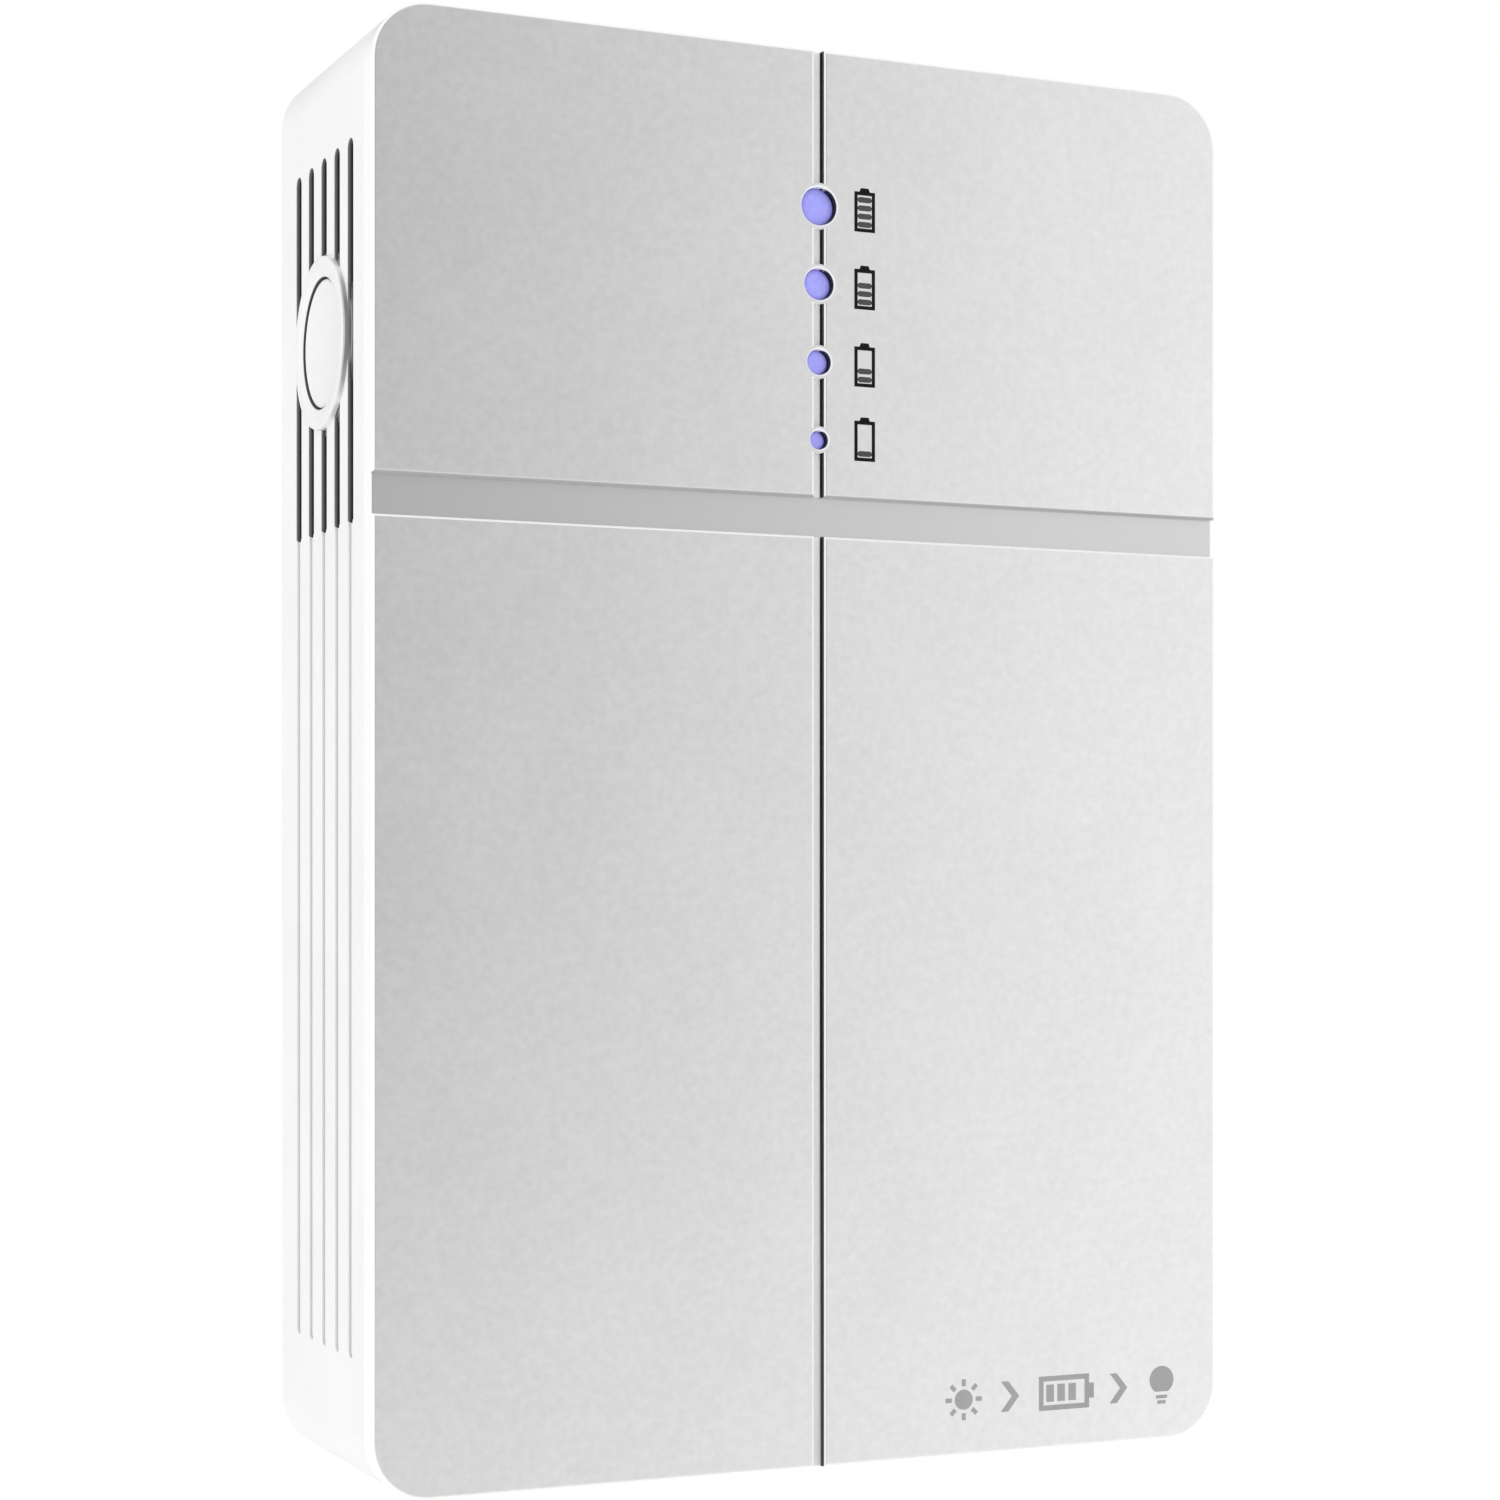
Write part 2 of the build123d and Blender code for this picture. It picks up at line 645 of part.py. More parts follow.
def jack_socket(x):
    """A socket for a 3.5 mm jack plug, its nose through the bottom wall."""
    shape = block(
        (x - SOCKET_HALF, x + SOCKET_HALF),
        (SOCKET_FRONT, BOARD_FRONT),
        (SOCKET_BACK, SOCKET_BACK + SOCKET_LENGTH),
    )
    shape += rod((x, SOCKET_Y, SOCKET_MOUTH), UP, SOCKET_NOSE, 3.0)
    return shape - rod((x, SOCKET_Y, SOCKET_MOUTH - 1), UP, SOCKET_BORE, SOCKET_BORE_DEPTH + 1)


def socket_nuts():
    """Round nuts on the sockets' noses, each with two notches for a spanner."""
    nuts = []
    outside = SOCKET_HOLE - 0.1
    notch_y = (SOCKET_Y - NOTCH_HALF, SOCKET_Y + NOTCH_HALF)
    notch_z = (SOCKET_MOUTH - 1, SOCKET_MOUTH + 0.7)
    for x in SOCKETS.values():
        nut = tube((x, SOCKET_Y, SOCKET_MOUTH), UP, outside, SOCKET_NOSE, SOCKET_BACK - SOCKET_MOUTH)
        nuts.append(nut - block((x - 5, x + 5), notch_y, notch_z))
    return group(nuts)


def socket_contacts():
    """A bent strip over each socket, from its front face down to the board."""
    strips = []
    top = SOCKET_BACK + SOCKET_LENGTH
    for x in SOCKETS.values():
        across = (x - STRIP_HALF, x + STRIP_HALF)
        leaf = block(across, (SOCKET_FRONT - STRIP, SOCKET_FRONT), (top - 9.0, top + STRIP))
        strips.append(leaf + block(across, (SOCKET_FRONT, BOARD_FRONT), (top, top + STRIP)))
    return group(strips)


def outlet_harness():
    """Three wires up the right side, between the outlet board and the control board."""
    wires = []
    for i in range(3):
        y = -15.6 - 2.6 * i
        foot, head = OUTLET_HEADER[0], HARNESS_HEADER[0]
        points = [
            (foot, y, OUTLET_HEADER[1] + 6),
            (foot, y, -70.2),
            (60.3, y, -70.2),
            (60.3, y, 10.5),
            (head, y, 10.5),
            (head, y, HARNESS_HEADER[1]),
        ]
        wires.append(wire(points, 2.5, 1.0))
    return group(wires)


# ---------------------------------------------------------------- battery pack
CELL_XS = [CELL_PITCH * (i - (CELL_COLUMNS - 1) / 2) for i in range(CELL_COLUMNS)]
CELL_YS = [MID_Y + CELL_PITCH / 2, MID_Y - CELL_PITCH / 2]


def cell():
    """One 18650 cell standing on its flat end, with a crimp and a terminal at its top."""
    shape = rod((0, 0, 0), UP, CELL_RADIUS, CELL_LENGTH)
    shape -= tube((0, 0, CELL_LENGTH - 3.4), UP, CELL_RADIUS + 1, CELL_RADIUS - 0.4, 0.8)
    return shape - tube((0, 0, CELL_LENGTH - 0.5), UP, 7.4, 4.2, 1.0)


def cell_group(index):
    """Four cells in parallel: two columns of two, the middle group standing upside down."""
    upright = index != 2
    one = cell() if upright else Pos(0, 0, CELL_LENGTH) * Rot(180, 0, 0) * cell()
    columns = CELL_XS[2 * index - 2 : 2 * index]
    return group([Pos(x, y, CELL_BOTTOM) * one for x in columns for y in CELL_YS])


def cell_comb(low):
    """A plate with a bore for each cell."""
    high = low + COMB_HEIGHT
    shape = block((-COMB_HALF_WIDTH, COMB_HALF_WIDTH), (COMB_FRONT, COMB_BACK), (low, high))
    shape = fillet(shape.edges().filter_by(Axis.Z), 3.0)
    for x in CELL_XS:
        for y in CELL_YS:
            shape -= rod((x, y, low - 1), UP, CELL_RADIUS + 0.05, COMB_HEIGHT + 2)
    # channel for the temperature sensor's lead
    return shape - block((-1.2, 1.2), (COMB_FRONT - 1, COMB_FRONT + 3), (low - 1, high + 1))


def bus_plate(x, z, tab=None):
    """A nickel plate over the cell ends, with a weld slot at each cell and maybe a tab."""
    shape = block(x, (MID_Y - 15, MID_Y + 15), (z, z + PLATE))
    if tab:
        shape += block(*tab, (z, z + PLATE))
    for cell_x in CELL_XS:
        for cell_y in CELL_YS:
            weld = block((cell_x - 0.5, cell_x + 0.5), (cell_y - 3, cell_y + 3), (z - 1, z + 1))
            shape -= weld
    return shape


def insulator(z):
    return block((-56, 56), (MID_Y - 17, MID_Y + 17), (z, z + SHEET))


def foam_pad(back, front):
    return block((-50, 50), (front, back), (CELL_BOTTOM + 2, CELL_TOP - 2))


PROTECTION_Z = 2.0
PROTECTION_TOP = PROTECTION_Z + 1.2


def protection_board():
    return block((-44, 44), (MID_Y - 8, MID_Y + 8), (PROTECTION_Z, PROTECTION_TOP))


def protection_tape():
    sheet_top = CELL_TOP + PLATE + SHEET
    return block((-30, 30), (MID_Y - 6, MID_Y + 6), (sheet_top, PROTECTION_Z))


def protection_chips():
    chips = []
    for x in (-30, -24, -18, 14, 20, 26):
        chips.append(block((x, x + 4), (MID_Y - 6, MID_Y - 1), (PROTECTION_TOP, PROTECTION_TOP + 1.4)))
    return group(chips)


def thermistor():
    """A bead between two front cells and its lead up to the protection board."""
    bead_y = COMB_FRONT + 1.7
    bead = rod((0, bead_y, -36), UP, 1.2, 7.0)
    lead_z = PROTECTION_TOP + 0.6
    lead = wire([(0, bead_y, -31), (0, bead_y, lead_z), (0, MID_Y - 5, lead_z)], 2.5, 0.6)
    return bead + lead


LEAD_RADIUS = 1.1
SIDE_RUN = 60.2
TAB_END = 61.4


def pack_lead(side, y, plate_z):
    """A lead from a bus plate's tab, up the side gap and in over the protection board."""
    over = PROTECTION_TOP + LEAD_RADIUS
    points = [(side * SIDE_RUN, y, plate_z), (side * SIDE_RUN, y, over), (side * 40, y, over)]
    return wire(points, 2.5, LEAD_RADIUS)


def board_lead(x):
    """A lead from the protection board up to the battery header."""
    header_z = BATTERY_HEADER[1]
    points = [
        (x, MID_Y - 1, PROTECTION_TOP),
        (x, MID_Y - 1, PROTECTION_TOP + 5),
        (x, -17.5, header_z - 3.5),
        (x, -17.5, header_z),
    ]
    return wire(points, 2.0, LEAD_RADIUS)


# ---------------------------------------------------------------- the whole unit, node by node
LOWER_PLATE = CELL_BOTTOM - PLATE
UPPER_PLATE = CELL_TOP
NEGATIVE_TAB = ((-TAB_END, -55), (MID_Y - 3, MID_Y + 3))
POSITIVE_TAB = ((55, TAB_END), (-34.0, -30.0))

NODES = {
    "front_cover": front_cover(),
    "rear_housing": rear_housing(),
    "cover_screws": cover_screws(),
    "button_ring": button_ring(),
    "button_cap": button_cap(),
    "switch_body": switch_body(),
    "switch_plunger": switch_plunger(),
    "switch_spring": switch_spring(),
    "button_board": button_board(),
    "button_pins": button_pins(),
    "indicator_board": indicator_board(),
    "indicator_lamps": indicator_lamps(),
    "indicator_screws": indicator_screws(),
    "indicator_ribbon": indicator_ribbon(),
    "ribbon_sockets": ribbon_sockets(),
    "control_board": control_board(),
    "control_screws": board_screws(CONTROL_SCREWS),
    "inductor_core": inductor_core(),
    "inductor_winding": inductor_winding(),
    "capacitors": capacitors(),
    "heatsink": heatsink(),
    "power_transistors": power_transistors(),
    "controller_chip": controller_chip(),
    "fuse": fuse(),
    "fuse_clips": fuse_clips(),
    "battery_header": header(*BATTERY_HEADER),
    "harness_headers": group([header(*HARNESS_HEADER), header(*OUTLET_HEADER)]),
    "outlet_board": outlet_board(),
    "outlet_screws": board_screws(OUTLET_SCREWS),
    "socket_nuts": socket_nuts(),
    "socket_contacts": socket_contacts(),
    "outlet_harness": outlet_harness(),
    "cell_combs": group([cell_comb(low) for low in (CELL_BOTTOM, CELL_TOP - COMB_HEIGHT)]),
    "bus_plate_negative": bus_plate((-56, -20), LOWER_PLATE, NEGATIVE_TAB),
    "bus_plate_link_1": bus_plate((-56, 17.4), UPPER_PLATE),
    "bus_plate_link_2": bus_plate((-17.4, 56), LOWER_PLATE),
    "bus_plate_positive": bus_plate((20, 56), UPPER_PLATE, POSITIVE_TAB),
    "insulators": group([insulator(LOWER_PLATE - SHEET), insulator(UPPER_PLATE + PLATE)]),
    "foam_pads": group([foam_pad(PANEL_FRONT, COMB_BACK), foam_pad(COMB_FRONT, PLATE_BACK)]),
    "protection_board": protection_board(),
    "protection_tape": protection_tape(),
    "protection_chips": protection_chips(),
    "thermistor": thermistor(),
    "lead_pack_negative": pack_lead(-1, MID_Y, CELL_BOTTOM),
    "lead_pack_positive": pack_lead(1, -32.0, UPPER_PLATE + PLATE),
    "lead_board_negative": board_lead(-3.0),
    "lead_board_positive": board_lead(3.0),
}
for number, (window_z, window_radius) in enumerate(WINDOWS, start=1):
    NODES[f"light_pipe_{number}"] = light_pipe(window_z, window_radius)
for name, socket_x in SOCKETS.items():
    NODES[name] = jack_socket(socket_x)
for number in (1, 2, 3):
    NODES[f"cell_group_{number}"] = cell_group(number)

for name, shape in NODES.items():
    export_step(shape, f"parts/{name}.step")
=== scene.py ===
"""Looks of the wall battery unit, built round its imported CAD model.

Lengths are in metres, unless a name or a comment says mm.
"""

import json
import math

import bmesh
import bpy
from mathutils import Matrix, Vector


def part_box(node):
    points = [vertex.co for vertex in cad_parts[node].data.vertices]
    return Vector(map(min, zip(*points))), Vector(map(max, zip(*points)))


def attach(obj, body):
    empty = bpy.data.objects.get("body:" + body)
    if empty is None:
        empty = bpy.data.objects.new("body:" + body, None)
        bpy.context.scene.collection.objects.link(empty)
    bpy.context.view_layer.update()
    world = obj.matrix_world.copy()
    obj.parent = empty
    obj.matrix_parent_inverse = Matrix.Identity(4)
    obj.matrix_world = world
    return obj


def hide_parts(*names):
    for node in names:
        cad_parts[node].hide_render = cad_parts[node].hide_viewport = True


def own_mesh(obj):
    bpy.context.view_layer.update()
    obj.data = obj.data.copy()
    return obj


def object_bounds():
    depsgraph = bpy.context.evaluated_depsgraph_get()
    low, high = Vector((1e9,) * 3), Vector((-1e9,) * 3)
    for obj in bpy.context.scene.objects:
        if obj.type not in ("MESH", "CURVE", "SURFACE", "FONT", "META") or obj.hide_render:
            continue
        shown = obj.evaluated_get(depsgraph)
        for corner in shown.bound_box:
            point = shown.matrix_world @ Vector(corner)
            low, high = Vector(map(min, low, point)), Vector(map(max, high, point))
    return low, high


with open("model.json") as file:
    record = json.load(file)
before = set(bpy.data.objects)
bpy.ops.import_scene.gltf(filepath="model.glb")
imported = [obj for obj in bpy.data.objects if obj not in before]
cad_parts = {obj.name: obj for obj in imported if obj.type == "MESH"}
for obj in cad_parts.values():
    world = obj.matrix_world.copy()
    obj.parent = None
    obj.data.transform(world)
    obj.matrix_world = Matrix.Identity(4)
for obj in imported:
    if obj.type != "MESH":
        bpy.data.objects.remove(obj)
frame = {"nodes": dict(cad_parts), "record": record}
cad_low, cad_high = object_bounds()

MM = 0.001
NODES = frame["nodes"]
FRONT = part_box("front_cover")[0].y
BASE = cad_low.z


# ---------------------------------------------------------------- camera and light
CAMERA_PLACE = (-0.18632, -0.43879, -0.01893)
CAMERA_YAW = math.radians(24.058)
CAMERA_LENS, CAMERA_SENSOR = 74.0, 36.0
CAMERA_RISE = 0.0952
CAMERA_NEAREST = 0.01

camera = bpy.data.cameras.new("camera")
camera.sensor_width = CAMERA_SENSOR
camera.lens = CAMERA_LENS
camera.shift_y = CAMERA_RISE
camera.clip_start = CAMERA_NEAREST
camera_object = bpy.data.objects.new("camera", camera)
camera_object.location = CAMERA_PLACE
camera_object.rotation_euler = (math.pi / 2, 0.0, -CAMERA_YAW)
bpy.context.scene.collection.objects.link(camera_object)
bpy.context.scene.camera = camera_object
bpy.context.scene.view_settings.view_transform = "Standard"

# The studio has a dim strip straight ahead of the unit, bright walls either side of it, a bright ceiling and
# an even ground. FROM and TO are the sines of the angles between which one brightness turns into another.
STRIP_TURN = math.radians(-1.5)
STRIP_FROM, STRIP_TO = math.sin(math.radians(8)), math.sin(math.radians(42))
BRIGHT_LEVEL, DIM_LEVEL = 1.19, 0.235
BACK_FROM, BACK_TO, BACK_SHARE = -0.55, 0.3, 0.72
CEILING_FROM, CEILING_TO, CEILING_LEVEL = 0.35, 0.9, 1.15
GROUND_FROM, GROUND_TO, GROUND_SHARE, GROUND_LEVEL = 0.06, 0.30, 0.75, 1.2


def math_node(tree, operation, *values):
    """A maths node on sockets and numbers."""
    node = tree.nodes.new("ShaderNodeMath")
    node.operation = operation
    for value, socket in zip(values, node.inputs):
        if isinstance(value, (int, float)):
            socket.default_value = value
        else:
            tree.links.new(value, socket)
    return node.outputs["Value"]


def ranged(tree, value, source, target):
    """A node that carries a value smoothly from one range to another."""
    node = tree.nodes.new("ShaderNodeMapRange")
    node.interpolation_type = "SMOOTHSTEP"
    for name, number in zip(("From Min", "From Max", "To Min", "To Max"), (*source, *target)):
        node.inputs[name].default_value = number
    tree.links.new(value, node.inputs["Value"])
    return node.outputs["Result"]


def towards(tree, direction, axis):
    """How far a direction points along an axis, from -1 to 1."""
    node = tree.nodes.new("ShaderNodeVectorMath")
    node.operation = "DOT_PRODUCT"
    node.inputs[1].default_value = axis
    tree.links.new(direction, node.inputs[0])
    return node.outputs["Value"]


def studio():
    """A world that lights the unit as a photographer's studio does, behind a plain white backdrop."""
    world = bpy.data.worlds.new("studio")
    bpy.context.scene.world = world
    world.use_nodes = True
    tree = world.node_tree
    tree.nodes.clear()
    direction = tree.nodes.new("ShaderNodeTexCoord").outputs["Generated"]

    def maths(operation, *values):
        return math_node(tree, operation, *values)

    aside = towards(tree, direction, (math.cos(STRIP_TURN), math.sin(STRIP_TURN), 0))
    back = towards(tree, direction, (0, 1, 0))
    up = towards(tree, direction, (0, 0, 1))
    down = towards(tree, direction, (0, 0, -1))
    walls = ranged(tree, maths("ABSOLUTE", aside), (STRIP_FROM, STRIP_TO), (DIM_LEVEL, BRIGHT_LEVEL))
    behind = ranged(tree, back, (BACK_FROM, BACK_TO), (1.0, BACK_SHARE))
    overhead = ranged(tree, up, (CEILING_FROM, CEILING_TO), (0.0, 1.0))
    lower = maths("MULTIPLY", maths("MULTIPLY", walls, behind), maths("SUBTRACT", 1.0, overhead))
    total = maths("ADD", lower, maths("MULTIPLY", overhead, CEILING_LEVEL))
    ground = ranged(tree, down, (GROUND_FROM, GROUND_TO), (0.0, GROUND_SHARE))
    total = maths("MULTIPLY", total, maths("SUBTRACT", 1.0, ground))
    total = maths("ADD", total, maths("MULTIPLY", ground, GROUND_LEVEL))
    seen = tree.nodes.new("ShaderNodeLightPath").outputs["Is Camera Ray"]
    light = tree.nodes.new("ShaderNodeBackground")
    tree.links.new(total, light.inputs["Strength"])
    backdrop = tree.nodes.new("ShaderNodeBackground")
    for glow in (light, backdrop):
        glow.inputs["Color"].default_value = (1.0, 1.0, 1.0, 1.0)
    either = tree.nodes.new("ShaderNodeMixShader")
    tree.links.new(seen, either.inputs["Fac"])
    tree.links.new(light.outputs["Background"], either.inputs[1])
    tree.links.new(backdrop.outputs["Background"], either.inputs[2])
    out = tree.nodes.new("ShaderNodeOutputWorld")
    tree.links.new(either.outputs["Shader"], out.inputs["Surface"])


LIGHT_PLACE = Vector((-0.65, 0.12, 0.05))
LIGHT_SIZE = (0.5, 0.7)
LIGHT_WATTS = 0.80


def left_light():
    """A soft rectangular light at the unit's left, which shines at the middle of its back."""
    lamp = bpy.data.lights.new("left_light", "AREA")
    lamp.shape = "RECTANGLE"
    lamp.size, lamp.size_y = LIGHT_SIZE
    lamp.energy = LIGHT_WATTS
    obj = bpy.data.objects.new("left_light", lamp)
    bpy.context.scene.collection.objects.link(obj)
    obj.location = LIGHT_PLACE
    obj.rotation_euler = (-LIGHT_PLACE).to_track_quat("-Z", "Y").to_euler()


studio()
left_light()


# ---------------------------------------------------------------- materials
NOISE_LOW, NOISE_HIGH = 0.3, 0.7
FINE_DETAIL, COARSE_DETAIL = 3.0, 4.0


def grey(value, warmth=0.0):
    """A near-neutral colour: warmth lifts red and lowers blue."""
    return (value * (1 + warmth), value, value * (1 - warmth), 1.0)


def material(
    name,
    dark,
    light,
    rough=(0.45, 0.55),
    grain=0.6,
    patch=18.0,
    mix=0.5,
    bump=0.004,
    metallic=0.0,
    coat=0.0,
    glow=None,
    specular=0.5,
    stretch=(1.0, 1.0, 1.0),
):
    """A moulded, painted or metal surface: two noises, of grain and patch size in mm, mix two shades.

    rough is the range of its roughness, mix the share of the fine grain in the colour, bump the
    height of the grain in mm, and stretch scales the pattern along X, Y and Z.
    """
    made = bpy.data.materials.new(name)
    made.use_nodes = True
    nodes, links = made.node_tree.nodes, made.node_tree.links
    shader = nodes["Principled BSDF"]
    place = nodes.new("ShaderNodeTexCoord")
    scale = nodes.new("ShaderNodeMapping")
    scale.inputs["Scale"].default_value = stretch
    links.new(place.outputs["Object"], scale.inputs["Vector"])
    fine = nodes.new("ShaderNodeTexNoise")
    fine.inputs["Scale"].default_value = 1 / (grain * MM)
    fine.inputs["Detail"].default_value = FINE_DETAIL
    coarse = nodes.new("ShaderNodeTexNoise")
    coarse.inputs["Scale"].default_value = 1 / (patch * MM)
    coarse.inputs["Detail"].default_value = COARSE_DETAIL
    for noise in (fine, coarse):
        links.new(scale.outputs["Vector"], noise.inputs["Vector"])
    both = nodes.new("ShaderNodeMix")
    both.inputs["Factor"].default_value = mix
    links.new(coarse.outputs["Fac"], both.inputs["A"])
    links.new(fine.outputs["Fac"], both.inputs["B"])
    ramp = nodes.new("ShaderNodeValToRGB")
    ramp.color_ramp.elements[0].position = NOISE_LOW
    ramp.color_ramp.elements[0].color = dark
    ramp.color_ramp.elements[1].position = NOISE_HIGH
    ramp.color_ramp.elements[1].color = light
    links.new(both.outputs["Result"], ramp.inputs["Fac"])
    links.new(ramp.outputs["Color"], shader.inputs["Base Color"])
    spread = nodes.new("ShaderNodeMapRange")
    spread.inputs["From Min"].default_value = NOISE_LOW
    spread.inputs["From Max"].default_value = NOISE_HIGH
    spread.inputs["To Min"].default_value = rough[0]
    spread.inputs["To Max"].default_value = rough[1]
    links.new(both.outputs["Result"], spread.inputs["Value"])
    links.new(spread.outputs["Result"], shader.inputs["Roughness"])
    if bump:
        relief = nodes.new("ShaderNodeBump")
        relief.inputs["Distance"].default_value = bump * MM
        links.new(fine.outputs["Fac"], relief.inputs["Height"])
        links.new(relief.outputs["Normal"], shader.inputs["Normal"])
    shader.inputs["Metallic"].default_value = metallic
    shader.inputs["Coat Weight"].default_value = coat
    shader.inputs["Specular IOR Level"].default_value = specular
    if glow:
        colour, strength = glow
        shader.inputs["Emission Color"].default_value = colour
        shader.inputs["Emission Strength"].default_value = strength
    return made


LOOKS = {
    "case_white": dict(dark=grey(0.81), light=grey(0.85), rough=(0.42, 0.52), bump=0.003),
    "front_pearl": dict(
        dark=grey(0.78), light=grey(0.86), rough=(0.28, 0.31), grain=1.1, mix=0.7, bump=0
    ),
    "ring_white": dict(dark=grey(0.79), light=grey(0.84), rough=(0.38, 0.46), bump=0.004),
    "cap_white": dict(dark=grey(0.80), light=grey(0.85), rough=(0.34, 0.42), bump=0.003),
    "lens_violet": dict(
        dark=(0.28, 0.28, 0.76, 1),
        light=(0.42, 0.42, 0.93, 1),
        rough=(0.18, 0.26),
        patch=2.5,
        bump=0.002,
        glow=((0.32, 0.31, 1.0, 1.0), 0.20),
    ),
    "screw_steel": dict(dark=grey(0.40), light=grey(0.58), metallic=1.0, rough=(0.28, 0.42), patch=3),
    "spring_steel": dict(dark=grey(0.38), light=grey(0.52), metallic=1.0, rough=(0.28, 0.36), patch=2),
    "contact_nickel": dict(
        dark=grey(0.52, 0.04), light=grey(0.68, 0.04), metallic=1.0, rough=(0.28, 0.38), patch=5
    ),
    "part_black": dict(dark=grey(0.018), light=grey(0.035), rough=(0.5, 0.65), bump=0.006),
    "board_green": dict(
        dark=(0.010, 0.10, 0.035, 1), light=(0.020, 0.17, 0.06, 1), rough=(0.3, 0.4), patch=4, bump=0.01
    ),
    "lamp_white": dict(dark=grey(0.72, 0.05), light=grey(0.84, 0.05), rough=(0.28, 0.34), patch=1),
    "ribbon_grey": dict(
        dark=grey(0.22), light=grey(0.36), rough=(0.45, 0.55), grain=1.2, stretch=(1, 0.02, 0.02), mix=0.9
    ),
    "socket_ivory": dict(dark=grey(0.66, 0.08), light=grey(0.76, 0.08), rough=(0.4, 0.5), patch=5),
    "ferrite_grey": dict(dark=grey(0.05), light=grey(0.10), rough=(0.6, 0.75), bump=0.02),
    "winding_copper": dict(
        dark=(0.45, 0.16, 0.06, 1), light=(0.68, 0.28, 0.12, 1), metallic=1.0, rough=(0.28, 0.34), patch=3
    ),
    "can_sleeve": dict(dark=(0.02, 0.025, 0.05, 1), light=(0.04, 0.05, 0.10, 1), rough=(0.28, 0.36)),
    "sink_aluminium": dict(
        dark=grey(0.40), light=grey(0.56), metallic=1.0, rough=(0.35, 0.5), stretch=(1, 1, 0.05)
    ),
    "fuse_ceramic": dict(dark=grey(0.66, 0.03), light=grey(0.78, 0.03), rough=(0.3, 0.4), patch=3),
    "cell_sleeve": dict(
        dark=(0.02, 0.08, 0.28, 1), light=(0.03, 0.12, 0.38, 1), rough=(0.28, 0.36), coat=0.3
    ),
    "sheet_barley": dict(dark=(0.10, 0.15, 0.09, 1), light=(0.17, 0.22, 0.14, 1), rough=(0.7, 0.85)),
    "foam_grey": dict(dark=grey(0.03), light=grey(0.07), rough=(0.85, 0.95), grain=0.8, bump=0.15),
    "wire_black": dict(dark=grey(0.015), light=grey(0.03), rough=(0.4, 0.5), patch=3),
    "wire_red": dict(dark=(0.35, 0.012, 0.010, 1), light=(0.50, 0.025, 0.018, 1), rough=(0.4, 0.5)),
    "print_dark": dict(
        dark=grey(0.004), light=grey(0.010), rough=(0.5, 0.65), grain=0.12, patch=2, bump=0, specular=0.12
    ),
    "print_charcoal": dict(
        dark=grey(0.035), light=grey(0.075), rough=(0.5, 0.65), grain=0.12, patch=2, bump=0
    ),
    "print_grey": dict(dark=grey(0.34), light=grey(0.40), rough=(0.45, 0.6), grain=0.15, patch=3, bump=0),
}
MATERIALS = {name: material(name + "_surface", **look) for name, look in LOOKS.items()}


def gate(tree, value, low, high):
    """Rises from 0 to 1 as a value goes from low to high, which may be the smaller."""
    node = tree.nodes.new("ShaderNodeMapRange")
    node.inputs["From Min"].default_value = low
    node.inputs["From Max"].default_value = high
    tree.links.new(value, node.inputs["Value"])
    return node.outputs["Result"]


def product(tree, *shares):
    """The product of several sockets."""
    total = shares[0]
    for share in shares[1:]:
        total = math_node(tree, "MULTIPLY", total, share)
    return total


def blend(tree, factor, first, second):
    """Mixes two colours, each a socket or a constant."""
    node = tree.nodes.new("ShaderNodeMix")
    node.data_type = "RGBA"
    tree.links.new(factor, node.inputs["Factor"])
    targets = [i for i in node.inputs if i.type == "RGBA"]
    for target, colour in zip(targets, (first, second)):
        if isinstance(colour, tuple):
            target.default_value = colour
        else:
            tree.links.new(colour, target)
    return [o for o in node.outputs if o.type == "RGBA"][0]


def surface(tree):
    """The place and the normal of a point, in the object's own frame, each split into X, Y and Z."""
    source = tree.nodes.new("ShaderNodeTexCoord")
    split = []
    for name in ("Object", "Normal"):
        node = tree.nodes.new("ShaderNodeSeparateXYZ")
        tree.links.new(source.outputs[name], node.inputs["Vector"])
        split.append(node.outputs)
    return split


def recolour(made, share_of, colour):
    """Mixes a colour into a material where share_of(tree, at, normal) says."""
    tree = made.node_tree
    target = tree.nodes["Principled BSDF"].inputs["Base Color"]
    before = target.links[0].from_socket
    at, normal = surface(tree)
    tree.links.new(blend(tree, share_of(tree, at, normal), before, colour), target)


def size_of(tree, value):
    """A value without its sign."""
    return math_node(tree, "ABSOLUTE", value)


def distance(tree, at, centre, axes):
    """How far a point is from a centre, along the named axes only."""
    parts = [math_node(tree, "SUBTRACT", at[axis], getattr(centre, axis.lower())) for axis in axes]
    squares = [math_node(tree, "MULTIPLY", part, part) for part in parts]
    return math_node(tree, "SQRT", math_node(tree, "ADD", *squares))


# Each share below takes the place and the normal of a point and says how much of a colour goes there, from
# 0 to 1. A pair of numbers says where it is 0 and where it is 1. The measures follow the CAD model.
FORWARD_FACING = (0.93, 0.99)


def forward_share(tree, at, normal):
    """1 where the surface faces forward, as the faces of the pads do."""
    return gate(tree, math_node(tree, "MULTIPLY", normal["Y"], -1.0), *FORWARD_FACING)


def rim_share(tree, at, normal):
    """1 where the surface doesn't face forward."""
    return math_node(tree, "SUBTRACT", 1.0, forward_share(tree, at, normal))


def depth_of(tree, at):
    """How far a point lies behind the faces of the pads."""
    return math_node(tree, "SUBTRACT", at["Y"], FRONT)


BAND_DEPTH = (0.6 * MM, 0.7 * MM)


def band_share(tree, at, normal):
    """1 as deep as the floor of the band and the channel."""
    return gate(tree, depth_of(tree, at), *BAND_DEPTH)


